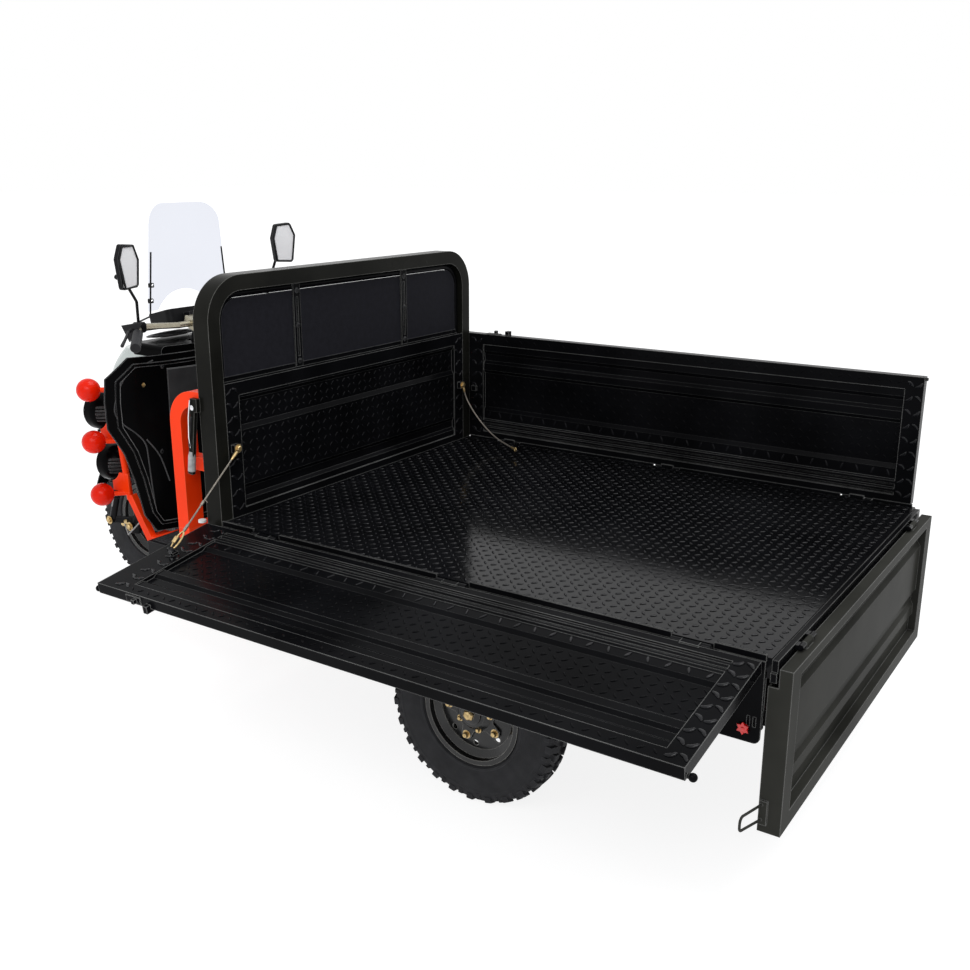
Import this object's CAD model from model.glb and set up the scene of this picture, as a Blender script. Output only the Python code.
import bpy
import bmesh
import random
from math import atan2, cos, pi, radians, sin, sqrt, tan
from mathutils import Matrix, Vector


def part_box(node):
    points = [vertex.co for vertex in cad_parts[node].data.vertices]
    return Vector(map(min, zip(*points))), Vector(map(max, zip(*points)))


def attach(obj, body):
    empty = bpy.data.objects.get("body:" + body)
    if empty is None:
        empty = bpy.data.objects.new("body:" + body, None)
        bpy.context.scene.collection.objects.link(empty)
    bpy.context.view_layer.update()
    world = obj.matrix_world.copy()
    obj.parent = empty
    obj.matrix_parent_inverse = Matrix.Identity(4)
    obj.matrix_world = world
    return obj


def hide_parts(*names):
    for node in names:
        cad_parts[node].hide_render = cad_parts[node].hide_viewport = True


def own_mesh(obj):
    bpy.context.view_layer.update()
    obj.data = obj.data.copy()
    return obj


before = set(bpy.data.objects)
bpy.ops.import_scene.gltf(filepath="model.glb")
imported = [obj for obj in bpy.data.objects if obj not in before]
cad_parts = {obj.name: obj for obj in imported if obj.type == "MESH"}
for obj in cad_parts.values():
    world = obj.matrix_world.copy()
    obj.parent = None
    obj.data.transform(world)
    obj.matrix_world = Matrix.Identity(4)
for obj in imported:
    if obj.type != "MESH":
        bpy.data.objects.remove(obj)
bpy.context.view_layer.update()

# ---- Sizes, in the millimetres of the part's own frame ----
# x runs forward from the load floor's rear edge, y to the left of the middle and z up from the ground.
FLOOR_Z = 630  # top of the load floor
HALF_BED = 650
BED_LENGTH = 1660
KNUCKLE_BACK = 34.5  # reach of the tailgate's knuckles behind the floor
BOARD_X = (16, 1705)  # ends of the side boards
BOARD_BASE = 632  # lower edge of a closed side board
BOARD_TALL = 398
HINGE_Y = 653  # hinge line of the side boards
HINGE_Z = 624
BOARD_OPEN = radians(98.5)
POST = 55  # width of a side board's rear post
FRONT_POST = 105
RAIL = 40  # height of its top rail
FRONT_AXLE_X = 2752
REAR_AXLE_X = 790
REAR_TRACK = 1180
FRONT_R = 272
REAR_R = 258
FRONT_FLANGE = 155  # radius of the rim's flange
REAR_FLANGE = 146
TYRE_HALF = 47.5  # half the tyre's width
STEER_RAKE = radians(20)

floor_low, floor_high = (Vector(c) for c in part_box("load_floor"))
ORIGIN = Vector((floor_low.x + KNUCKLE_BACK / 1000,
                 (floor_low.y + floor_high.y) / 2,
                 floor_high.z - FLOOR_Z / 1000))


def at(x, y, z):
    """Point of the part's own frame, in metres."""
    return ORIGIN + Vector((x, y, z)) / 1000


# ---- Camera, light and ground ----
CAMERA_PLACE = (-666.7, 2754, FLOOR_Z + 1009.7)
CAMERA_YAW = -0.9849
CAMERA_PITCH = -0.2858
CAMERA_LENS = 40.51
SKY_COLOUR = (0.95, 0.97, 1)
SKY_STRENGTH = 0.6
SUN_STRENGTH = 1.5
SUN_SPREAD = radians(40)
SUN_WAY = (0.28, 0.32, -1)
KEY_SIZE = (3.2, 1.6)
KEY_POWER = 60
KEY_PLACE = (300, 3200, 3000)
KEY_AIM = (1300, 0, 600)
GROUND_HALF = 60  # metres
GROUND_DROP = 0.0005  # metres below the tyres
GROUND_GREY = 0.97  # what the light's own rays meet
LIFT = 0.86  # glow of the ground where it is seen
SHADED = 0.3  # its grey there, which carries the shadow


def add_object(name, data):
    """New object in the scene."""
    made = bpy.data.objects.new(name, data)
    bpy.context.collection.objects.link(made)
    return made


def aim_camera():
    """Camera behind the bed and to its left."""
    camera = bpy.data.cameras.new("camera")
    camera.lens = CAMERA_LENS
    camera.clip_end = 200
    holder = add_object("camera", camera)
    level = cos(CAMERA_PITCH)
    look = Vector((level * cos(CAMERA_YAW), level * sin(CAMERA_YAW), sin(CAMERA_PITCH)))
    holder.location = at(*CAMERA_PLACE)
    holder.rotation_euler = look.to_track_quat("-Z", "Y").to_euler()
    bpy.context.scene.camera = holder


def node_tree(owner):
    """Empty node tree of a world or material."""
    owner.use_nodes = True
    owner.node_tree.nodes.clear()
    return owner.node_tree


def add_node(tree, kind, inputs={}, **settings):
    """New shader node with its settings and its inputs, each a value or the socket that feeds it."""
    made = tree.nodes.new("ShaderNode" + kind)
    for name, value in settings.items():
        setattr(made, name, value)
    for key, value in inputs.items():
        if isinstance(value, bpy.types.NodeSocket):
            tree.links.new(value, made.inputs[key])
        else:
            made.inputs[key].default_value = value
    return made


def seen_rays(tree):
    """Socket that is 1 for rays from the camera, through glass and off gloss, and 0 for the rest."""
    path = add_node(tree, "LightPath").outputs
    total = path["Is Camera Ray"]
    for kind in ("Is Glossy Ray", "Is Transmission Ray"):
        total = add_node(tree, "Math", {0: total, 1: path[kind]}, operation="MAXIMUM").outputs[0]
    return total


def light_scene():
    """Dim sky that is seen as white, a wide sun and a soft lamp on the left."""
    world = bpy.data.worlds.new("studio")
    bpy.context.scene.world = world
    tree = node_tree(world)
    sky = add_node(tree, "Background", {"Color": (*SKY_COLOUR, 1), "Strength": SKY_STRENGTH})
    white = add_node(tree, "Background", {"Color": (1, 1, 1, 1)})
    mix = add_node(tree, "MixShader", {0: seen_rays(tree), 1: sky.outputs[0], 2: white.outputs[0]})
    add_node(tree, "OutputWorld", {"Surface": mix.outputs[0]})
    sun = bpy.data.lights.new("sun", "SUN")
    sun.energy = SUN_STRENGTH
    sun.angle = SUN_SPREAD
    add_object("sun", sun).rotation_euler = Vector(SUN_WAY).to_track_quat("-Z", "Y").to_euler()
    key = bpy.data.lights.new("key", "AREA")
    key.shape = "RECTANGLE"
    key.size, key.size_y = KEY_SIZE
    key.energy = KEY_POWER
    holder = add_object("key", key)
    holder.location = at(*KEY_PLACE)
    holder.rotation_euler = (at(*KEY_AIM) - holder.location).to_track_quat("-Z", "Y").to_euler()


def lay_ground():
    """White floor that keeps the object's shadow."""
    mesh = bpy.data.meshes.new("ground")
    far = GROUND_HALF
    mesh.from_pydata([(-far, -far, 0), (far, -far, 0), (far, far, 0), (-far, far, 0)], [], [(0, 1, 2, 3)])
    ground = add_object("ground", mesh)
    ground.location.z = -GROUND_DROP
    pale = bpy.data.materials.new("pale_ground")
    tree = node_tree(pale)
    seen = seen_rays(tree)
    greys = {6: (*[GROUND_GREY] * 3, 1), 7: (*[SHADED] * 3, 1)}
    tint = add_node(tree, "Mix", {0: seen, **greys}, data_type="RGBA")
    shade = add_node(tree, "BsdfDiffuse", {"Color": tint.outputs[2]})
    lift = add_node(tree, "Math", {0: seen, 1: LIFT}, operation="MULTIPLY")
    glow = add_node(tree, "Emission", {"Strength": lift.outputs[0]})
    join = add_node(tree, "AddShader", {0: shade.outputs[0], 1: glow.outputs[0]})
    add_node(tree, "OutputMaterial", {"Surface": join.outputs[0]})
    mesh.materials.append(pale)


# ---- Materials ----
EDGE_RADIUS = 0.004  # metres
EDGE_FROM = 0.985  # how far the rounded normal leans where an edge line starts
EDGE_FULL = 0.8  # and where it is at its palest
COLOUR_SPAN = (0.3, 0.7)  # noise values of the darker and the paler colour
COAT_ROUGH = 0.05
BUMP_DEPTH = 0.001  # metres
GLOSS_BLACK = (0.0035, 0.0036, 0.0042)
LINE = (0.3, 0.3, 0.29)
SHEEN = {"spread": 0.4, "scale": 5, "bump": 0.12, "bump_scale": 60}


def worn_edges(tree, colour, wander, edge):
    """The colour given, with paler, slightly broken lines along the sharp edges."""
    rounded = add_node(tree, "Bevel", {"Radius": EDGE_RADIUS}, samples=6).outputs[0]
    normal = add_node(tree, "NewGeometry").outputs["Normal"]
    match = add_node(tree, "VectorMath", {0: rounded, 1: normal}, operation="DOT_PRODUCT")
    line = add_node(tree, "MapRange", {0: match.outputs["Value"], 1: EDGE_FROM, 2: EDGE_FULL})
    broken = add_node(tree, "Math", {0: line.outputs[0], 1: wander}, operation="MULTIPLY")
    mix = add_node(tree, "Mix", {0: broken.outputs[0], 6: colour, 7: (*edge, 1)}, data_type="RGBA")
    return mix.outputs[2]


def finish(name, colour, rough, metal=0.0, coat=0.0, spread=0.15, scale=40.0, bump=0.0,
           bump_scale=300.0, rough_spread=0.08, specular=0.5, edge=None, **sockets):
    """Principled material with colour and roughness that wander, a fine bump and paler edges."""
    made = bpy.data.materials.new(name)
    tree = node_tree(made)
    place = add_node(tree, "TexCoord").outputs["Object"]
    coarse = add_node(tree, "TexNoise", {"Vector": place, "Scale": scale, "Detail": 5})
    noise = coarse.outputs["Fac"]
    ramp = add_node(tree, "ValToRGB", {"Fac": noise})
    for stop, where, share in zip(ramp.color_ramp.elements, COLOUR_SPAN, (1 - spread, 1 + spread)):
        stop.position = where
        stop.color = (*(min(1.0, c * share) for c in colour), 1)
    paint = ramp.outputs["Color"]
    if edge:
        paint = worn_edges(tree, paint, noise, edge)
    span = add_node(tree, "MapRange", {0: noise, 3: max(0.0, rough - rough_spread), 4: rough + rough_spread})
    inputs = {"Base Color": paint, "Roughness": span.outputs[0], "Metallic": metal, "Coat Weight": coat,
              "Coat Roughness": COAT_ROUGH, "Specular IOR Level": specular}
    if bump:
        fine = add_node(tree, "TexNoise", {"Vector": place, "Scale": bump_scale, "Detail": 4})
        relief = add_node(tree, "Bump", {"Height": fine.outputs[0], "Strength": bump, "Distance": BUMP_DEPTH})
        inputs["Normal"] = relief.outputs[0]
    inputs.update((socket.replace("_", " "), value) for socket, value in sockets.items())
    shader = add_node(tree, "BsdfPrincipled", inputs)
    add_node(tree, "OutputMaterial", {"Surface": shader.outputs[0]})
    return made


MATERIALS = {
    "black": finish("gloss_black", GLOSS_BLACK, 0.2, **SHEEN, rough_spread=0.06, specular=0.025, edge=LINE),
    "faint": finish("gloss_black_faint", GLOSS_BLACK, 0.2, **SHEEN, specular=0.03),
    "floor": finish("gloss_black_floor", GLOSS_BLACK, 0.12, spread=0.4, scale=4, bump=0.3, bump_scale=45,
                    rough_spread=0.06, specular=0.1),
    "tread": finish("gloss_black_tread", (0.006, 0.0062, 0.0075), 0.16, **SHEEN, rough_spread=0.06,
                    specular=0.2),
    "gate": finish("gloss_black_gate", (0.03, 0.03, 0.0265), 0.22, spread=0.35, scale=3, bump=0.1,
                   bump_scale=30, rough_spread=0.06, specular=0.003, edge=LINE),
    "olive": finish("olive_black_tube", (0.009, 0.009, 0.0075), 0.25, spread=0.4, scale=5, bump=0.06,
                    bump_scale=60, specular=0.04, edge=(0.26, 0.26, 0.24)),
    "satin": finish("satin_black", (0.007, 0.007, 0.008), 0.38, spread=0.3, scale=30, bump=0.1, specular=0.1,
                    edge=(0.12, 0.12, 0.12)),
    "plastic": finish("black_plastic", (0.0018, 0.0018, 0.002), 0.2, spread=0.2, scale=12, bump=0.03,
                      bump_scale=150, rough_spread=0.04, specular=0.02, edge=(0.36, 0.36, 0.36)),
    "red": finish("orange_red_paint", (0.92, 0.042, 0.002), 0.35, spread=0.05, scale=9, bump=0.04,
                  bump_scale=120, specular=0.12, edge=(1.0, 0.16, 0.06)),
    "ball": finish("red_rubber", (0.78, 0.014, 0.002), 0.2, spread=0.06, scale=20, bump=0.03, specular=0.14),
    "board": finish("grey_board", (0.0125, 0.0125, 0.016), 0.7, scale=60, bump=0.25, bump_scale=900,
                    specular=0.05, edge=(0.09, 0.09, 0.1)),
    "vinyl": finish("black_vinyl", (0.014, 0.014, 0.015), 0.5, spread=0.2, scale=50, bump=0.5, bump_scale=900,
                    specular=0.2),
    "cloth": finish("dark_cover", (0.055, 0.055, 0.056), 0.35, spread=0.5, scale=30, bump=0.8, bump_scale=60,
                    specular=0.35, edge=(0.3, 0.3, 0.3)),
    "silver": finish("silver_plastic", (0.55, 0.6, 0.58), 0.28, spread=0.05, scale=15, bump=0.02, metal=0.1,
                     coat=0.3, edge=(0.8, 0.82, 0.8)),
    "grey": finish("cast_grey", (0.1, 0.1, 0.105), 0.5, metal=0.3, spread=0.2, bump=0.4, bump_scale=400),
    "pale": finish("pale_sleeve", (0.34, 0.34, 0.34), 0.4, spread=0.25, scale=70, bump=0.2),
    "white": finish("white_rubber", (0.78, 0.78, 0.76), 0.5, spread=0.08, scale=60, bump=0.15),
    "lens": finish("red_lens", (0.6, 0.006, 0.006), 0.15, spread=0.1, coat=0.4, bump=0.1, bump_scale=200),
    "glass": finish("lamp_glass", (0.7, 0.73, 0.75), 0.08, metal=0.3, spread=0.1, scale=60, coat=0.6,
                    bump=0.3, bump_scale=120),
    "cable": finish("wire_rope", (0.26, 0.235, 0.2), 0.42, metal=0.6, spread=0.35, scale=300, bump=0.8,
                    bump_scale=1500),
    "brass": finish("zinc_yellow", (0.55, 0.4, 0.19), 0.32, metal=0.85, spread=0.3, scale=120, bump=0.2,
                    bump_scale=500),
    "bright": finish("bright_bar", (0.36, 0.33, 0.25), 0.25, metal=0.8, scale=30, bump=0.05),
    "chrome": finish("chrome", (0.75, 0.76, 0.78), 0.1, metal=1.0, spread=0.05, scale=30, bump=0.02),
    "rubber": finish("tyre_rubber", (0.026, 0.026, 0.028), 0.7, spread=0.3, scale=25, bump=0.6,
                     bump_scale=350, rough_spread=0.1, specular=0.15, edge=(0.08, 0.08, 0.083)),
    "panel": finish("grey_panel", (0.03, 0.03, 0.031), 0.4, spread=0.25, scale=14, bump=0.05, specular=0.2,
                    edge=(0.2, 0.2, 0.2)),
    "grip": finish("grip_rubber", (0.016, 0.016, 0.018), 0.55, spread=0.2, bump=0.5, bump_scale=800,
                   specular=0.2, edge=(0.1, 0.1, 0.1)),
    "mirror": finish("mirror_face", (0.96, 0.96, 0.97), 0.25, spread=0.02, scale=5, rough_spread=0.02,
                     specular=0.6),
    "rim": finish("black_rim", (0.012, 0.012, 0.012), 0.22, spread=0.3, scale=20, specular=0.4, bump=0.06,
                  edge=(0.5, 0.48, 0.44)),
    "screen": finish("clear_screen", (0.73, 0.745, 0.8), 0.03, spread=0.01, rough_spread=0.02, scale=4,
                     specular=0.2, Transmission_Weight=1.0, IOR=1.02, edge=(0.6, 0.62, 0.72)),
}

NODE_LOOKS = {
    "floor": "load_floor",
    "black": "bulkhead backrest_frame chassis_frame side_plates left_board right_board mudguards "
             "front_fender",
    "gate": "tailgate",
    "olive": "hoop",
    "satin": "leaf_springs rear_axle fork instrument_pod mirrors seat_box footboard",
    "plastic": "leg_shield spot_lamps",
    "red": "front_frame seat_frame crash_bars",
    "ball": "bumper_balls",
    "board": "backrest_board",
    "vinyl": "backrest_pad seat_cushion",
    "silver": "front_cowl",
    "grey": "drive_motor battery",
    "lens": "tail_lamps",
    "glass": "headlight",
    "cable": "left_cable right_cable right_cable_eye",
    "bright": "handlebar",
    "grip": "grips",
    "screen": "windshield",
    "mirror": "mirror_glass",
    "rubber": "front_tyre rear_left_tyre rear_right_tyre",
    "rim": "front_rim rear_left_rim rear_right_rim",
}


def dress_nodes():
    """Each CAD node takes its material."""
    for look, names in NODE_LOOKS.items():
        for name in names.split():
            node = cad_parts[name]
            node.data.materials.clear()
            node.data.materials.append(MATERIALS[look])


# ---- Mesh building ----
def circle(count):
    """Points of the unit circle."""
    turns = [2 * pi * k / count for k in range(count)]
    return [(cos(a), sin(a)) for a in turns]


def turn_out(mesh, smooth):
    """Turns the faces outwards, shaded smooth but for edges sharper than an angle in degrees."""
    work = bmesh.new()
    work.from_mesh(mesh)
    bmesh.ops.recalc_face_normals(work, faces=work.faces)
    for edge in work.edges:
        if len(edge.link_faces) == 2:
            edge.smooth = edge.calc_face_angle(0) < radians(smooth)
    for face in work.faces:
        face.smooth = True
    work.to_mesh(mesh)
    work.free()


def middle_of(outline):
    """Mean of an outline's points."""
    return sum((Vector(p) for p in outline), Vector((0, 0))) / len(outline)


def on_side(side, points):
    """Points given for the left side, mirrored for the right."""
    return [(x, side * y, z) for x, y, z in points]


class Shape:
    """Mesh pieces gathered into one object, its points given in the part's millimetres."""

    def __init__(self, name, body, slot, looks):
        """Looks are the names of its materials; the look of each call below is an index into them."""
        self.name, self.body, self.slot = name, body, slot
        self.looks = looks.split()
        self.verts, self.faces, self.kinds = [], [], []

    def loft(self, rings, look=0, caps=True):
        """Closed rings of the same count of points, joined in order."""
        count = len(rings[0])
        start = len(self.verts)
        faces = []
        for r in range(len(rings) - 1):
            for i in range(count):
                j = (i + 1) % count
                faces.append((r * count + i, r * count + j, (r + 1) * count + j, (r + 1) * count + i))
        if caps:
            faces.append(tuple(reversed(range(count))))
            faces.append(tuple((len(rings) - 1) * count + i for i in range(count)))
        self.verts += [tuple(at(*p)) for ring in rings for p in ring]
        self.faces += [tuple(i + start for i in f) for f in faces]
        self.kinds += [look] * len(faces)

    def lathe(self, centre, axis, profile, look=0, segments=32, caps=True):
        """(along, radius) points turned about an axis through centre."""
        axis = Vector(axis).normalized()
        side = axis.orthogonal().normalized()
        up = axis.cross(side)
        rings = []
        for along, radius in profile:
            middle = Vector(centre) + axis * along
            rings.append([middle + (side * c + up * s) * radius for c, s in circle(segments)])
        self.loft(rings, look, caps)

    def tube(self, points, radius, look=0, segments=10):
        """Round tube along points; the radius may be a list with one for each point."""
        points = [Vector(p) for p in points]
        rings = []
        side = None
        for i, p in enumerate(points):
            ahead = points[min(i + 1, len(points) - 1)] - points[max(i - 1, 0)]
            ahead.normalize()
            side = (ahead.orthogonal() if side is None else side - ahead * side.dot(ahead)).normalized()
            up = ahead.cross(side)
            r = radius[i] if isinstance(radius, (list, tuple)) else radius
            rings.append([p + (side * c + up * s) * r for c, s in circle(segments)])
        self.loft(rings, look)

    def prism(self, centre, axes, outline, depth, look=0, chamfer=1.0):
        """Outline in (u, v) about centre, thickened along axes[2], with chamfered rims."""
        u, v, w = (Vector(a) for a in axes)
        middle = middle_of(outline)
        rings = []
        for along, inset in ((0, chamfer), (chamfer, 0), (depth - chamfer, 0), (depth, chamfer)):
            ring = []
            for p in outline:
                out = Vector(p) - middle
                q = middle + out * max(0.0, 1 - inset / out.length)
                ring.append(Vector(centre) + u * q.x + v * q.y + w * along)
            rings.append(ring)
        self.loft(rings, look)

    def block(self, low, high, look=0, chamfer=1.0):
        """Box between two corners with chamfered edges."""
        size = [high[i] - low[i] for i in range(3)]
        outline = [(0, 0), (size[0], 0), (size[0], size[1]), (0, size[1])]
        axes = ((1, 0, 0), (0, 1, 0), (0, 0, 1))
        self.prism(low, axes, outline, size[2], look, min(chamfer, min(size) / 3))

    def side_block(self, side, across, along, up, look=0, chamfer=1.0):
        """Block on one side: across are its distances from the middle, along and up its x and z."""
        near, far = sorted(side * y for y in across)
        self.block((along[0], near, up[0]), (along[1], far, up[1]), look, chamfer)

    def bolt(self, centre, axis, radius=6, tall=4, look=0):
        """Hexagon head on a washer."""
        self.lathe(centre, axis, [(0, radius * 1.5), (1, radius * 1.5), (1.2, radius * 1.1)], look, 16)
        self.lathe(centre, axis, [(0.8, radius), (tall * 0.8, radius), (tall, radius * 0.8)], look, 6)

    def make(self, smooth=40, replaces=()):
        """The finished object, riding on its body."""
        mesh = bpy.data.meshes.new(self.name)
        mesh.from_pydata(self.verts, [], self.faces)
        for look in self.looks:
            mesh.materials.append(MATERIALS[look])
        for face, kind in zip(mesh.polygons, self.kinds):
            face.material_index = kind
        turn_out(mesh, smooth)
        piece = add_object(self.name, mesh)
        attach(piece, self.body)
        if replaces:
            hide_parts(*replaces)
        return piece


# ---- Chequer plate ----
SINK = 0.1  # how far the raised marks reach into the sheet
END_TOP = BOARD_TALL - 4
BOARD_INNER = (BOARD_X[0] + POST, BOARD_X[1] - FRONT_POST)
BOARD_PANEL = (124, 246)  # heights of the sunken panel above the board's lower edge
PANEL_DEPTH = 13
STRIP_RISE = 90
STRIP_DEPTH = 6
STRIP_MARKS = 32
BULKHEAD_BANDS = ((94, 256, 4), (274, 343, 13))  # low, high, depth
BULKHEAD_HALF = 545
BULKHEAD_ENDS = (549, 598)
BULKHEAD_MARKS = ((6, 190), (234, 400))


def raised(shape, spot, u, v, turn, layers, look=0):
    """One raised mark, turned about (u, v); layers are outlines with their heights.

    spot(u, v, w) gives a point of the part, with w out of the sheet.
    """
    c, s = cos(turn), sin(turn)
    rings = []
    for outline, w in layers:
        rings.append([spot(u + a * c - b * s, v + a * s + b * c, w) for a, b in outline])
    shape.loft(rings, look)


def lozenges(shape, spot, across, up, gap=27, long=18, wide=5, tall=0.8):
    """Raised lozenges over a rectangle."""
    columns = round((across[1] - across[0]) / gap)
    rows = round((up[1] - up[0]) / gap)
    layers = []
    for size, w in ((0.5, -SINK), (0.4, tall * 0.7), (0.2, tall)):
        layers.append(([(x * long * size, y * wide * size) for x, y in circle(10)], w))
    for i in range(columns):
        u = across[0] + (i + 0.5) * (across[1] - across[0]) / columns
        for j in range(rows):
            v = up[0] + (j + 0.5) * (up[1] - up[0]) / rows
            raised(shape, spot, u, v, pi / 4 if (i + j) % 2 else -pi / 4, layers)


def lentil(shape, spot, u, v, long, wide, turn, tall, look, bend=0.0):
    """One raised lentil, curved across its length by bend."""
    layers = []
    for size, w in ((1.0, -SINK), (0.82, tall * 0.7), (0.4, tall)):
        layers.append(([(x * long / 4 * (1 + size), y * wide / 2 * size + bend * (1 - x ** 2))
                        for x, y in circle(12)], w))
    raised(shape, spot, u, v, turn, layers, look)


def lentil_rows(shape, spot, across, up, long, wide, tall, look, pitch=45, bend=4):
    """Large lentils in two columns along a strip, turned this way and that."""
    rows = round((up[1] - up[0]) / pitch)
    step = (up[1] - up[0]) / rows
    for i in range(2):
        u = across[0] + (i + 0.5) * (across[1] - across[0]) / 2
        for j in range(rows):
            way = 1 if (i + j) % 2 else -1
            lentil(shape, spot, u, up[0] + (j + 0.5) * step, long, wide, way * radians(38), tall, look,
                   bend * way)


def floor_spot(u, v, w):
    """Point finder on the load floor."""
    return u, v, FLOOR_Z + w


def board_spot(side, opened, depth):
    """Point finder on a side board: u along it, v above its lower edge, w out of its inner face."""
    def spot(u, v, w):
        y = HALF_BED + depth - w - HINGE_Y
        z = BOARD_BASE + v - HINGE_Z
        c, s = cos(opened), sin(opened)
        return u, side * (HINGE_Y + y * c + z * s), HINGE_Z - y * s + z * c
    return spot


def bulkhead_spot(depth):
    """Point finder on the bulkhead: u across it, v above the floor, w out of its rear face."""
    def spot(u, v, w):
        return BED_LENGTH + depth - w, u, FLOOR_Z + v
    return spot


def make_treads():
    """Raised marks of the floor, the side boards and the bulkhead."""
    floor = Shape("floor_tread", "chassis", "black_paint", "tread")
    lozenges(floor, floor_spot, (8, BED_LENGTH - 4), (-638, 638), gap=26, long=19, wide=6, tall=1.1)
    floor.make()
    pitch = (BOARD_INNER[1] - BOARD_INNER[0]) / STRIP_MARKS
    for name, side, opened in (("left_board", 1, BOARD_OPEN), ("right_board", -1, 0.0)):
        tread = Shape(name + "_tread", name, "black_paint", "faint tread")
        face = board_spot(side, opened, 0)
        lozenges(tread, board_spot(side, opened, PANEL_DEPTH), BOARD_INNER, BOARD_PANEL)
        lozenges(tread, face, BOARD_INNER, (END_TOP - RAIL + 8, END_TOP), gap=30, tall=0.7)
        for k in range(STRIP_MARKS):
            turn = radians(90 - 22 * (-1) ** k)
            lentil(tread, board_spot(side, opened, STRIP_DEPTH), BOARD_INNER[0] + (k + 0.5) * pitch,
                   STRIP_RISE, 24, 7, turn, 1.6, 1)
        rear = (BOARD_X[0] + 2, BOARD_X[0] + POST - 2)
        lentil_rows(tread, face, rear, (6, END_TOP), 28, 10, 2.4, 1)
        front = (BOARD_X[1] - FRONT_POST + 4, BOARD_X[1] - 50)
        lentil_rows(tread, face, front, (6, END_TOP), 28, 10, 1.6, 1)
        tread.make()
    tread = Shape("bulkhead_tread", "chassis", "black_paint", "tread")
    for low, high, depth in BULKHEAD_BANDS:
        lozenges(tread, bulkhead_spot(depth), (-BULKHEAD_HALF, BULKHEAD_HALF), (low, high))
    for side in (-1, 1):
        ends = sorted(side * y for y in BULKHEAD_ENDS)
        for span in BULKHEAD_MARKS:
            lentil_rows(tread, bulkhead_spot(0), ends, span, 26, 9, 1.6, 0)
    tread.make()


# ---- Tyres ----
TREAD_ROWS = 26
# Outlines of the tread blocks: distance from the tyre's middle, distance round it.
SHOULDER_BLOCK = ((TYRE_HALF - 1, -11), (TYRE_HALF - 1, 9), (TYRE_HALF - 24, 13), (TYRE_HALF - 30, 2),
                  (TYRE_HALF - 24, -9))
CENTRE_BLOCK = ((TYRE_HALF - 34, -10), (TYRE_HALF - 20, -12), (TYRE_HALF - 20, 8), (TYRE_HALF - 30, 14),
                (TYRE_HALF - 44, 6), (TYRE_HALF - 42, -8))
SIDE_BLOCK = ((TYRE_HALF - 0.5, -5), (TYRE_HALF - 0.5, 6), (TYRE_HALF - 14, 8), (TYRE_HALF - 14, -7))


def make_tyre(name, node, body, centre, outer, flange):
    """Tyre with a ribbed sidewall and blocks all round."""
    tyre = Shape(name, body, "tyre_rubber", "rubber")
    w = TYRE_HALF
    half = [(w - 14, flange - 9.5), (w - 12, flange + 2), (w - 3, flange + 7), (w - 2.2, flange + 12),
            (w - 3.2, flange + 13), (w - 1.0, flange + 24), (w, flange + 38), (w, outer - 46),
            (w - 0.6, outer - 40), (w, outer - 38), (w - 0.8, outer - 35), (w - 3, outer - 22),
            (w - 9, outer - 13), (w - 18, outer - 10)]
    profile = half + [(0, outer - 9)] + [(-a, r) for a, r in reversed(half)]
    profile.append(half[0])
    tyre.lathe(centre, (0, 1, 0), profile, 0, 72, caps=False)
    pitch = 2 * pi / TREAD_ROWS
    for i in range(TREAD_ROWS):
        for side in (-1, 1):
            turn = pitch * (i + (0.5 if side > 0 else 0.0))
            between = turn + pitch / 2
            tyre_block(tyre, centre, side, turn, outer, SHOULDER_BLOCK, (outer - 24, outer - 10))
            tyre_block(tyre, centre, side, between, outer, CENTRE_BLOCK, (outer - 10, outer - 10))
            tyre_block(tyre, centre, side, between, outer - 6, SIDE_BLOCK, (outer - 30, outer - 14))
    tyre.make(smooth=30, replaces=(node,))


def tyre_block(tyre, centre, side, turn, outer, outline, feet):
    """Tread block standing from its feet, at the shoulder and the middle, up to the outer radius."""
    middle = middle_of(outline)
    rings = []
    for level, size in ((0, 1.0), (1, 1.0), (2, 0.86)):
        ring = []
        for p in outline:
            a, b = middle + (Vector(p) - middle) * size
            edge = max(0.0, (a - 20) / (TYRE_HALF - 20))
            top = outer - 9 * edge ** 2
            foot = feet[1] + (feet[0] - feet[1]) * edge
            radius = (foot, top - 1.5, top)[level]
            angle = turn + b / outer
            ring.append((centre[0] + radius * cos(angle), centre[1] + side * a,
                         centre[2] + radius * sin(angle)))
        rings.append(ring)
    tyre.loft(rings)


def make_tyres():
    """The front tyre and both rear ones."""
    make_tyre("tread_front", "front_tyre", "front_wheel", (FRONT_AXLE_X, 0, FRONT_R), FRONT_R,
              FRONT_FLANGE)
    for side, way in (("left", 1), ("right", -1)):
        make_tyre("tread_rear_" + side, "rear_" + side + "_tyre", "rear_" + side + "_wheel",
                  (REAR_AXLE_X, way * REAR_TRACK / 2, REAR_R), REAR_R, REAR_FLANGE)


# ---- Stays of the side boards ----
ROPE = 2.5  # radius of the wire rope
STRANDS = 4
TWIST = 22  # length of one turn of a strand
STAY_TOP = (1642.2, 576, 842)
BOLT_X = 1645
LUG_RISE = 192  # the open board's lug, above its lower edge
LUG_STAND = 10.8
LINK_REACH = 66  # from the rope's lower end to the lug
FRAY_REACH = 190  # from the bolt to the frayed strand
RIGHT_ROUTE = ((1642.2, -576, 842), (1636.2, -580, 802), (1616.2, -585, 762), (1578.2, -580, 722),
               (1527.2, -567, 686), (1470.2, -545, 664), (1412.2, -517, 656), (1356.2, -484, 654))


def rope(shape, start, end):
    """Twisted strands from one point to another."""
    start, end = Vector(start), Vector(end)
    along = end - start
    length = along.length
    along.normalize()
    side = along.orthogonal().normalized()
    up = along.cross(side)
    steps = int(length / TWIST * 8)
    for k in range(STRANDS):
        points = []
        for i in range(steps + 1):
            gone = length * i / steps
            a = 2 * pi * (k / STRANDS + gone / TWIST)
            points.append(start + along * gone + (side * cos(a) + up * sin(a)) * ROPE * 0.5)
        shape.tube(points, ROPE * 0.52, 0, 6)


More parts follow.
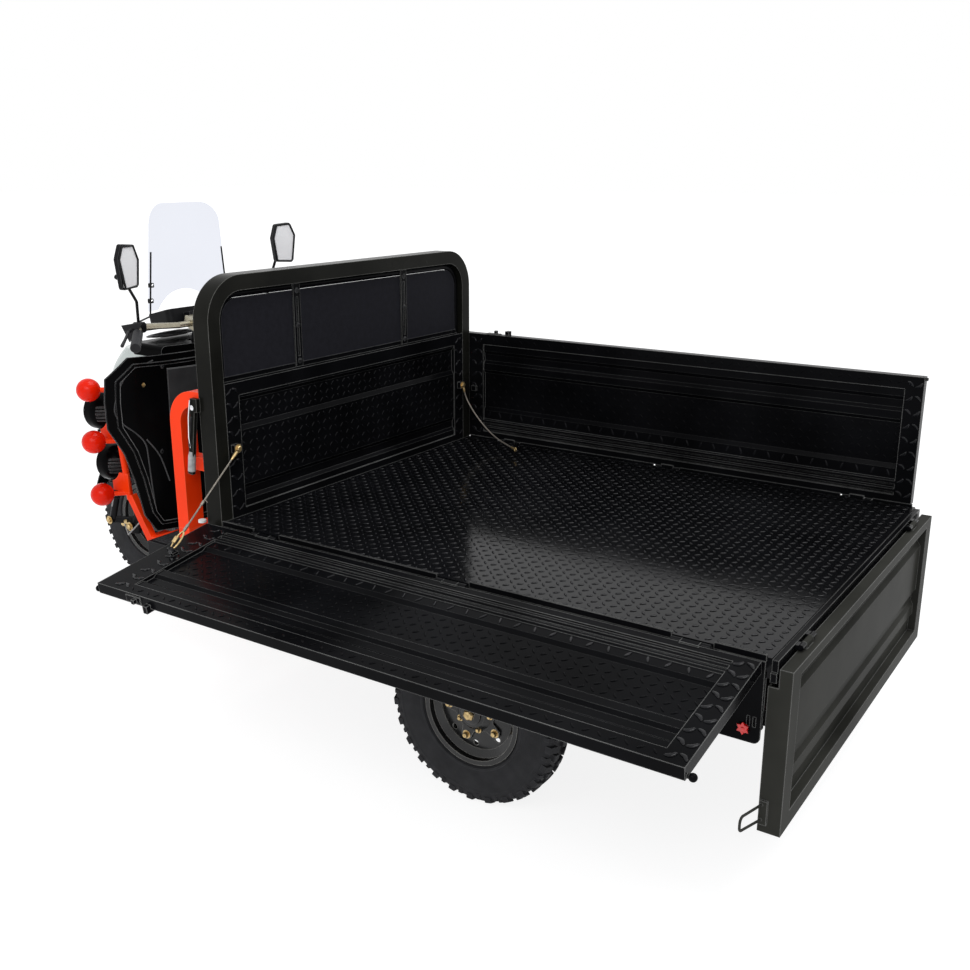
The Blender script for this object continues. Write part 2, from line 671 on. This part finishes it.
def ring(shape, centre, axis, radius, thick, look=0, segments=28, stretch=1.0, along=None):
    """Closed ring about an axis, stretched along a direction if asked."""
    axis = Vector(axis).normalized()
    side = Vector(along).normalized() if along else axis.orthogonal().normalized()
    up = axis.cross(side)
    rings = []
    for c, s in circle(segments):
        out = side * c + up * s
        middle = Vector(centre) + side * c * radius * stretch + up * s * radius
        rings.append([middle + (out * a + axis * b) * thick for a, b in circle(8)])
    rings.append(rings[0])
    shape.loft(rings, look, caps=False)


def make_left_stay():
    """Taut stay of the open board: rope, sleeves and frayed strand, with its link on the board's lug."""
    top = Vector(STAY_TOP)
    low = Vector(board_spot(1, BOARD_OPEN, 0)(STAY_TOP[0] + 2, LUG_RISE, LUG_STAND))
    along = (low - top).normalized()
    link = low - along * LINK_REACH
    stay = Shape("left_stay", "chassis", "steel_cable", "cable brass")
    cable, brass = range(2)
    rope(stay, top + along * 10, link)
    stay.lathe(top + along * 12, along, [(0, 5), (14, 5.4), (26, 3.6), (30, 2.8)], brass, 12)
    stay.lathe(link - along * 24, along, [(0, 2.8), (2, 4.6), (20, 4.6), (24, 3)], cable, 12)
    fray = top + along * FRAY_REACH
    stay.lathe(fray, along, [(0, 2.8), (1, 4.2), (15, 4.2), (16, 2.8)], cable, 10)
    stay.tube([fray + along * 4, fray + Vector((-8, 4, 6)), fray + Vector((-26, 10, 2))], 0.9, cable, 6)
    piece = stay.make(replaces=("left_cable",))
    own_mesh(piece)
    ends = Shape("left_stay_link", "left_board", "steel_cable", "brass satin chrome")
    brass, satin, chrome = range(3)
    ring(ends, low - along * 34, Vector((1, 0, 0)).cross(along), 10, 2.8, brass, stretch=3.0, along=along)
    ends.lathe(low - along * 46 + Vector((10, 0, 0)), along, [(0, 5), (1, 6), (20, 6), (21, 5)], brass, 6)
    ends.lathe(low + along * 2, -along, [(0, 12), (5, 12), (10, 9), (13, 4)], satin, 20)
    ends.lathe(low - Vector((0, 0, 8)), (0, 0, 1), [(0, 7), (14, 7), (16, 5)], chrome, 6)
    ends.make()
    head = Shape("left_stay_bolt", "chassis", "steel_cable", "brass")
    head.bolt((BOLT_X, STAY_TOP[1], STAY_TOP[2]), (-1, 0, 0), 9, 8)
    head.make()


def make_right_stay():
    """Loose stay of the closed board: the hanging rope with the eye at its free end."""
    curve = bpy.data.curves.new("right_stay", "CURVE")
    curve.dimensions = "3D"
    line = curve.splines.new("NURBS")
    line.points.add(len(RIGHT_ROUTE) - 1)
    for point, place in zip(line.points, RIGHT_ROUTE):
        point.co = (*at(*place), 1)
    line.order_u = 3
    line.use_endpoint_u = True
    line.resolution_u = 12
    curve.bevel_depth = ROPE / 1000
    curve.bevel_resolution = 3
    curve.use_fill_caps = True
    curve.materials.append(MATERIALS["cable"])
    piece = add_object("right_stay", curve)
    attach(piece, "chassis")
    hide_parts("right_cable")
    end = Vector(RIGHT_ROUTE[-1])
    along = (end - Vector(RIGHT_ROUTE[-2])).normalized()
    eye = Shape("right_stay_eye", "chassis", "steel_cable", "brass")
    ring(eye, end + along * 9.3, along.cross(Vector((0, 0, 1))), 7, 2)
    eye.lathe(end - along * 22, along, [(0, 2.6), (1, 4), (20, 4), (23, 3)], 0, 12)
    eye_piece = eye.make(replaces=("right_cable_eye",))
    head = Shape("right_stay_bolt", "chassis", "steel_cable", "brass")
    head.bolt((BOLT_X, -STAY_TOP[1], STAY_TOP[2]), (-1, 0, 0), 9, 8)
    start = Vector(RIGHT_ROUTE[0])
    down = (Vector(RIGHT_ROUTE[1]) - start).normalized()
    head.lathe(start + down * 9, down, [(0, 4.5), (10, 4.8), (18, 3.4), (20, 2.7)], 0, 12)
    head_piece = head.make()
    tuple(at(*RIGHT_ROUTE[0]))


# ---- Soft pieces, in metres ----
VOXEL = 0.006
PRESSURE = 4
CLOTH_STEPS = 20
INSIDE = 0.0004  # how far a cushion stays inside its plain solid
WELT_RADIUS = 2.6  # millimetres


def rounded_outline(low, high, radius, steps=6):
    """Outline of a rectangle with round corners."""
    outline = []
    left, front = (v + radius for v in low)
    right, back = (v - radius for v in high)
    for x, y, turn in ((right, back, 0), (left, back, 90), (left, front, 180), (right, front, 270)):
        for k in range(steps + 1):
            a = radians(turn + 90 * k / steps)
            outline.append((x + cos(a) * radius, y + sin(a) * radius))
    return outline


def cushion(name, node, thin, radius, inset, cap, welt):
    """Crowned cushion blown up from a smaller copy of its plain solid, with a welt round its rim.

    thin is the axis of its thickness, cap the most that the cloth may move, and welt the height of
    the welt as a share of the thickness.
    """
    low, high = (Vector(c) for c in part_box(node))
    wide = [i for i in range(3) if i != thin]
    outline = rounded_outline([low[i] + inset for i in wide], [high[i] - inset for i in wide], radius)

    def place(a, b, level):
        point = Vector()
        point[wide[0]], point[wide[1]], point[thin] = a, b, level
        return point

    levels = (low[thin] + inset * 0.3, high[thin] - inset)
    verts = [place(a, b, level) for level in levels for a, b in outline]
    count = len(outline)
    faces = [tuple(range(count)), tuple(range(2 * count - 1, count - 1, -1))]
    faces += [(i, (i + 1) % count, count + (i + 1) % count, count + i) for i in range(count)]
    mesh = bpy.data.meshes.new(name)
    mesh.from_pydata(verts, [], faces)
    turn_out(mesh, 0)
    piece = add_object(name, mesh)
    remesh = piece.modifiers.new("remesh", "REMESH")
    remesh.mode = "VOXEL"
    remesh.voxel_size = VOXEL
    settle(piece)
    start = [v.co.copy() for v in piece.data.vertices]
    cloth = piece.modifiers.new("cloth", "CLOTH")
    cloth.settings.use_pressure = True
    cloth.settings.uniform_pressure_force = PRESSURE
    cloth.settings.effector_weights.gravity = 0
    for step in range(1, CLOTH_STEPS + 1):
        bpy.context.scene.frame_set(step)
    settle(piece)
    bpy.context.scene.frame_set(1)
    for vertex, was in zip(piece.data.vertices, start):
        move = vertex.co - was
        if move.length > cap:
            vertex.co = was + move.normalized() * cap
        for i in range(3):
            vertex.co[i] = min(max(vertex.co[i], low[i] + INSIDE), high[i] - INSIDE)
    smooth = piece.modifiers.new("smooth", "SMOOTH")
    smooth.iterations = 6
    piece.modifiers.new("divide", "SUBSURF")
    settle(piece)
    for face in piece.data.polygons:
        face.use_smooth = True
    piece.data.materials.append(MATERIALS["vinyl"])
    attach(piece, "chassis")
    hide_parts(node)
    seam = Shape(name + "_welt", "chassis", "black_vinyl", "vinyl")
    reach = inset * 0.7
    level = low[thin] + (high[thin] - low[thin]) * welt
    grown = rounded_outline([low[i] + reach for i in wide], [high[i] - reach for i in wide], radius, 8)
    points = [(place(a, b, level) - ORIGIN) * 1000 for a, b in grown + grown[:2]]
    seam.tube(points, WELT_RADIUS, 0, 8)
    seam.make()


def settle(piece):
    """Replaces a piece's mesh by what its modifiers make of it."""
    graph = bpy.context.evaluated_depsgraph_get()
    graph.update()
    mesh = bpy.data.meshes.new_from_object(piece.evaluated_get(graph))
    piece.modifiers.clear()
    piece.data = mesh


def make_cushions():
    """The saddle and the pad of the backrest."""
    cushion("saddle", "seat_cushion", 2, 0.055, 0.012, 0.024, 0.72)
    cushion("back_pad", "backrest_pad", 0, 0.03, 0.009, 0.016, 0.5)


# ---- Hardware of the bed ----
STRAP_X = 1675  # rear face of the straps of the backrest
STRAP_Y = 267
STRAP_BOLTS = (424, 534, 640)  # heights above the load floor
LIP_SPANS = ((10, 130), (230, 780), (880, 1430), (1530, 1655))  # between the boards' hinges
REAR_X = (-14.5, 0)  # strip on the floor's rear edge
STRIP_BLOCKS = (((600, 646), REAR_X, (574, 597)), ((596, 642), (9, 34), (500, 598)),
                ((634, 643), (10, 88), (455, 499)))
REFLECTOR = (50, 651, 452)
# By the hoop's foot on the left: rubber buffer, button, and the sleeve, wire and hose below it.
BUFFER = (1732, 655, 621)
BUTTON = (1734, 657, 968)
SLEEVE = ((1754.5, 653, 834), (1757, 653, 818), (1763, 653, 774))
WIRE = ((1738, 662, 990), (1744, 666, 940), (1752, 663, 880), (1756, 657, 846))
HOSE = ((1741, 657, 940), (1752, 660, 880), (1758, 657, 850))


def make_bed_hardware():
    """Bolts of the straps, buffers and wiring by the hoop's feet, lips of the floor and its reflectors."""
    bits = Shape("bed_hardware", "chassis", "black_paint", "satin white chrome pale black")
    satin, white, chrome, pale, black = range(5)
    for side in (-1, 1):
        for rise in STRAP_BOLTS:
            bits.bolt((STRAP_X, side * STRAP_Y, FLOOR_Z + rise), (-1, 0, 0), 6, 5, satin)
        buffer, button = on_side(side, (BUFFER, BUTTON))
        bits.lathe(buffer, (0, 0, 1), [(0, 10), (1, 12), (8, 12), (9.5, 9)], white, 20)
        bits.lathe(button, (0, side, 0), [(0, 8), (5, 8), (7, 5)], chrome, 16)
        bits.tube(on_side(side, SLEEVE), [9, 11.5, 11.5], pale, 10)
        bits.tube(on_side(side, WIRE), 2.4, chrome, 8)
        bits.tube(on_side(side, HOSE), 4.5, satin, 8)
        for span in LIP_SPANS:
            bits.side_block(side, (641, 647), span, (620, 636), black)
    bits.make()
    rear = Shape("rear_strip", "chassis", "black_paint", "black")
    rear.block((REAR_X[0], -640, 596), (REAR_X[1], 640, 625))
    for side in (-1, 1):
        for across, along, up in STRIP_BLOCKS:
            rear.side_block(side, across, along, up)
    rear.make()
    star = Shape("reflectors", "chassis", "red_lens", "lens")
    points = [(c * r, s * r) for (c, s), r in zip(circle(12), (10, 16) * 6)]
    x, y, z = REFLECTOR
    for side in (-1, 1):
        star.prism((x, side * y, z), ((1, 0, 0), (0, 0, 1), (0, side, 0)), points, 3, 0, 0.8)
        star.lathe((x, side * (y + 2), z), (0, side, 0), [(0, 4), (2, 4), (3, 2.5)], 0, 12)
    star.make()


# ---- Hubs of the rear wheels ----
HUB_FACE = 30  # outer face of the wheel's disc, from the wheel's middle
STAR_R = (62, 34)  # radius of the star plate between its points, and their height
HUB_BOLTS = ((80, -10, 8, 11), (52, -6, 6, 8))  # circle, lift, radius and height: nuts, then cover bolts


def make_hub(body, centre, side):
    """Star plate with brass nuts round a hub cap."""
    hub = Shape(body + "_hub", body, "black_paint", "rim brass")
    rim, brass = range(2)
    x, y, z = centre
    out = (0, side, 0)
    points = []
    for k, (c, s) in enumerate(circle(40)):
        r = STAR_R[0] + STAR_R[1] * max(0.0, cos(pi * k / 4)) ** 0.6
        points.append((c * r, s * r))
    hub.prism((x, y + side * (HUB_FACE - 14), z), ((1, 0, 0), (0, 0, 1), out), points, 5, rim, 1)
    for (c, s), (reach, lift, radius, tall) in zip(circle(10), HUB_BOLTS * 5):
        hub.bolt((x + c * reach, y + side * (HUB_FACE + lift), z + s * reach), out, radius, tall, brass)
    cap = [(0, 46), (8, 44), (12, 34), (22, 31), (25, 26)]
    hub.lathe((x, y + side * (HUB_FACE - 12), z), out, cap, rim, 32)
    hub.lathe((x, y + side * (HUB_FACE + 12), z), out, [(0, 16), (8, 16), (12, 12)], brass, 6)
    hub.make()


def make_hubs():
    """The hubs of both rear wheels."""
    for name, side in (("left", 1), ("right", -1)):
        make_hub("rear_" + name + "_wheel", (REAR_AXLE_X, side * REAR_TRACK / 2, REAR_R), side)


# ---- Hardware of the front ----
SHIELD_X = 2395  # rear face of the leg shield at the middle of its foot
SHIELD_CURVE = 481.7  # radius of the shield, seen from above
SHIELD_LEAN = 20
SHIELD_FOOT = 340.3
SHIELD_TALL = 701.7
PANEL_HALF = 172  # panel on the shield's rear face
PANEL_UP = (766, 942)
SHIELD_RIDGES = (((215, 975), (250, 958), (280, 950), (308, 905), (333, 815), (328, 778), (310, 748),
                  (278, 716), (252, 676), (249, 622), (244, 530), (236, 405)),
                 ((250, 690), (214, 632), (200, 582), (186, 526)))
SHIELD_SCREWS = ((248, 890), (205, 640), (186, 950))  # the first is plated
# On the bar's left half: lever, brake cable and wiring.
GUARD = ((0, 4), (-120, 26), (-36, -50))
LEVER = ((2392, 300, 1104), (2372, 352, 1096), (2330, 400, 1082), (2292, 446, 1068))
BRAKE_CABLE = ((2392, 296, 1098), (2440, 230, 1090), (2452, 120, 1078), (2436, 34, 1078))
BAR_WIRING = ((2386, 292, 1092), (2428, 220, 1084), (2444, 110, 1080), (2436, 30, 1086))
SCREEN_FOOT = (2457.7, 184, 1142)  # lower corner of the windshield
SCREEN_TOP = (2437.7, 149, 1510)
CLIP_RISES = (1178, 1232)
MIRROR_JOINTS = ((2315, 402, 1290), (2315, -358, 1326))
# On the fork's left leg: nuts with their radius and height, brake pipe and brake hose.
FORK_NUTS = ((2839.5, 156, 290, 11, 9), (2768, 156, 487, 11, 9), (FRONT_AXLE_X, 131, FRONT_R, 12, 10))
BRAKE_PIPE = ((2818, 154, 350), (2800, 154, 398))
BRAKE_HOSE = ((2800, 118, 278), (2740, 150, 246), (2690, 130, 300), (2660, 118, 420))
SPRING_LOW = 400  # springs of the dampers ahead of the fork
SPRING_COILS = 9
SPRING_PITCH = 9
SPRING_AHEAD = 94
SPOT_LAMPS = ((2690, 262, 775), (2670, 245, 580))
HEADLIGHT = (2860, 0, 790)


def shield_x(y, z):
    """Rear face of the leg shield."""
    bow = SHIELD_CURVE - sqrt(SHIELD_CURVE ** 2 - y * y)
    return SHIELD_X + bow - SHIELD_LEAN * (z - SHIELD_FOOT) / SHIELD_TALL


def eased(points):
    """The points with their corners cut twice, so that a tube along them bends gently."""
    points = [Vector(p) for p in points]
    for _ in range(2):
        cut = [points[0]]
        for a, b in zip(points, points[1:]):
            cut += [a.lerp(b, 0.25), a.lerp(b, 0.75)]
        points = cut + [points[-1]]
    return points


def make_shield_hardware():
    """Panel on the leg shield's rear face, and the screws round it."""
    bits = Shape("front_hardware", "chassis", "black_paint", "panel brass satin")
    panel, brass, satin = range(3)
    rings = []
    low, high = PANEL_UP
    section = ((5, low + 4), (5, high - 4), (0.2, high), (0.2, low))
    for k in range(-6, 7):
        y = PANEL_HALF * k / 6
        rings.append([(shield_x(y, z) - d, y, z) for d, z in section])
    bits.loft(rings, panel)
    for side in (-1, 1):
        for (y, z), look in zip(SHIELD_SCREWS, (brass, satin, satin)):
            bits.bolt((shield_x(y, z) - 0.5, side * y, z), (-1, 0, 0), 6, 4, look)
    bits.make()


def make_bar_hardware():
    """Levers with their guards and cables, clips of the windshield and joints of the mirrors."""
    bars = Shape("bar_hardware", "steering", "black_paint", "satin chrome grip")
    satin, chrome, grip = range(3)
    for side in (-1, 1):
        bars.prism((2428, side * 332, 1108), ((1, 0, 0), (0, 0, 1), (0, side, 0)), GUARD, 5, satin, 1)
        bars.side_block(side, (288, 318), (2356, 2392), (1088, 1124), satin, 6)
        bars.tube(on_side(side, LEVER), [7, 6, 5, 6], grip, 8)
        bars.tube(eased(on_side(side, BRAKE_CABLE)), 4, satin, 8)
        bars.tube(eased(on_side(side, BAR_WIRING)), 3.5, satin, 8)
        for rise in CLIP_RISES:
            share = (rise - SCREEN_FOOT[2]) / (SCREEN_TOP[2] - SCREEN_FOOT[2])
            x, y, z = Vector(SCREEN_FOOT).lerp(Vector(SCREEN_TOP), share)
            bars.side_block(side, (y - 9, y + 9), (x - 7, x + 3), (z - 8, z + 8), satin, 2)
            bars.lathe((x - 7, side * y, z), (-1, 0, 0), [(0, 5), (4, 5), (6, 3)], chrome, 10)
    boot = [(0, 13), (10, 12), (18, 8), (24, 9), (30, 5)]
    for side, place in zip((1, -1), MIRROR_JOINTS):
        bars.lathe(place, (1, side * 0.2, -0.2), boot, satin, 14)
    bars.make()


def make_fork_hardware():
    """Nuts, brakes and damper springs of the fork."""
    fork = Shape("fork_hardware", "steering", "black_paint", "brass pale satin")
    brass, pale, satin = range(3)
    for side in (-1, 1):
        for x, y, z, radius, tall in FORK_NUTS:
            fork.bolt((x, side * y, z), (0, side, 0), radius, tall, brass)
        fork.tube(on_side(side, BRAKE_PIPE), 3, pale, 8)
        fork.side_block(side, (100, 124), (2776, 2812), (262, 292), brass, 4)
        fork.tube(on_side(side, BRAKE_HOSE), 3, pale, 8)
        for k in range(SPRING_COILS):
            z = SPRING_LOW + SPRING_PITCH * k
            x = FRONT_AXLE_X + SPRING_AHEAD - (z - FRONT_R) * tan(STEER_RAKE)
            ring(fork, (x, side * 140, z), (-0.34, 0, 0.94), 14, 3.2, satin, 16)
    fork.make()


def lamp(lamps, place, rim, lens, segments):
    """Bright rim of a lamp, open behind, and its domed lens."""
    x, y, z = place
    lamps.lathe(place, (1, 0, 0), rim, 0, segments, caps=False)
    lamps.lathe((x - 1, y, z), (1, 0, 0), lens, 1, segments)


def make_lamp_fittings():
    """Rims and lenses of the headlight and the spot lamps."""
    lamps = Shape("lamp_fittings", "chassis", "lamp_glass", "chrome glass")
    for side in (-1, 1):
        for place in on_side(side, SPOT_LAMPS):
            lamp(lamps, place, [(-6, 66), (1, 68), (3, 64), (0.5, 60)],
                 [(0, 61), (3, 52), (5, 30), (5.6, 4)], 36)
    lamp(lamps, HEADLIGHT, [(-8, 70), (1, 72), (3, 68), (0.5, 62)], [(0, 64), (5, 52), (8, 30), (9, 4)], 40)
    lamps.make()


# ---- The rider's place ----
MAT_TOP = 340  # top of the footboard
MAT_X = (2134, 2386)
MAT_HALF = 318
RIB_PITCH = 18.5
BOX_FRONT = 2120  # faces and lid of the seat box
BOX_SIDE = 230
LID_UP = (688, 696)
BOX_PANEL = [(-150, 0), (150, 0), (170, 20), (170, 210), (150, 230), (-150, 230), (-170, 210), (-170, 20)]


def make_rider_place():
    """Moulded ridges of the leg shield, ribbed mat of the footboard and fittings of the seat box."""
    ridges = Shape("shield_ridges", "chassis", "black_gloss_plastic", "panel")
    for side in (-1, 1):
        for line in SHIELD_RIDGES:
            ridges.tube(eased([(shield_x(y, z) - 0.5, side * y, z) for y, z in line]), 2.6, 0, 8)
    ridges.make()
    mat = Shape("footboard_mat", "chassis", "grip_rubber", "grip")
    mat.block((MAT_X[0], -MAT_HALF, MAT_TOP - 0.5), (MAT_X[1], MAT_HALF, MAT_TOP + 2), 0, 0.6)
    reach = MAT_HALF - 12
    for k in range(13):
        x = MAT_X[0] + 12 + k * RIB_PITCH
        mat.block((x, -reach, MAT_TOP + 1.8), (x + 6, reach, MAT_TOP + 4.5), 0, 1.2)
    mat.make()
    trims = Shape("seat_box_trims", "chassis", "black_paint", "satin chrome")
    satin, chrome = range(2)
    trims.prism((BOX_FRONT + 0.5, 0, 400), ((0, 1, 0), (0, 0, 1), (1, 0, 0)), BOX_PANEL, 4, satin, 1.5)
    for k in range(6):
        low = 440 + 22 * k
        trims.block((BOX_FRONT + 4, -110, low), (BOX_FRONT + 7, 110, low + 10), satin)
    trims.block((BOX_FRONT, -226, LID_UP[0]), (BOX_FRONT + 4, 226, LID_UP[1]), satin)
    trims.lathe((BOX_FRONT, 0, 664), (1, 0, 0), [(0, 12), (4, 12), (6, 9), (7, 3)], chrome, 20)
    for side in (-1, 1):
        trims.side_block(side, (BOX_SIDE, BOX_SIDE + 4), (1860, 2116), LID_UP, satin)
        trims.lathe((2040, side * BOX_SIDE, 660), (0, side, 0), [(0, 10), (4, 10), (6, 7)], chrome, 16)
    trims.make()


def make_hood_sheet():
    """Crumpled sheet lying across the front of the hood."""
    sheet = Shape("hood_sheet", "chassis", "black_gloss_plastic", "cloth")
    middle = (2562, 0, 1034)
    half = (28, 125, 9)
    dice = random.Random(11)
    rings = []
    for i in range(17):
        a = pi * i / 16
        loop = []
        for k in range(28):
            b = 2 * pi * k / 28
            fold = 1 + 0.12 * sin(5 * b + 3 * a) + 0.09 * sin(11 * b - 7 * a)
            size = max(0.04, sin(a)) * (fold + dice.uniform(-0.05, 0.05))
            loop.append((middle[0] + half[0] * size * cos(b), middle[1] - half[1] * cos(a),
                         middle[2] + half[2] * size * sin(b)))
        rings.append(loop)
    sheet.loft(rings)
    sheet.make()


def make_mirror_rims():
    """Rounded rim round each mirror face, found from the face's own outline."""
    rims = Shape("mirror_rims", "steering", "black_paint", "satin")
    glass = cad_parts["mirror_glass"].data
    for side in (-1, 1):
        near = [(v.co - ORIGIN) * 1000 for v in glass.vertices if (v.co.y - ORIGIN.y) * side > 0]
        own = [f for f in glass.polygons if (f.center.y - ORIGIN.y) * side > 0 and f.normal.x < -0.5]
        normal = max(own, key=lambda f: f.area).normal
        level = max(p.dot(normal) for p in near)
        face = [p for p in near if level - p.dot(normal) < 0.3]
        face = [p for i, p in enumerate(face) if all((p - q).length > 2 for q in face[:i])]
        centre = sum(face, Vector()) / len(face)
        across = normal.orthogonal().normalized()
        up = normal.cross(across)
        face.sort(key=lambda p: atan2((p - centre).dot(up), (p - centre).dot(across)))
        loop = [centre + (p - centre) * (1 + 2.0 / (p - centre).length) for p in face]
        rims.tube(loop + loop[:2], 4.2, 0, 8)
    rims.make()


aim_camera()
light_scene()
lay_ground()
make_right_stay()
make_left_stay()
dress_nodes()
make_treads()
make_tyres()
make_cushions()
make_hubs()
make_bed_hardware()
make_shield_hardware()
make_bar_hardware()
make_fork_hardware()
make_lamp_fittings()
make_rider_place()
make_hood_sheet()
make_mirror_rims()

scene = bpy.context.scene
scene.view_settings.view_transform = "Standard"
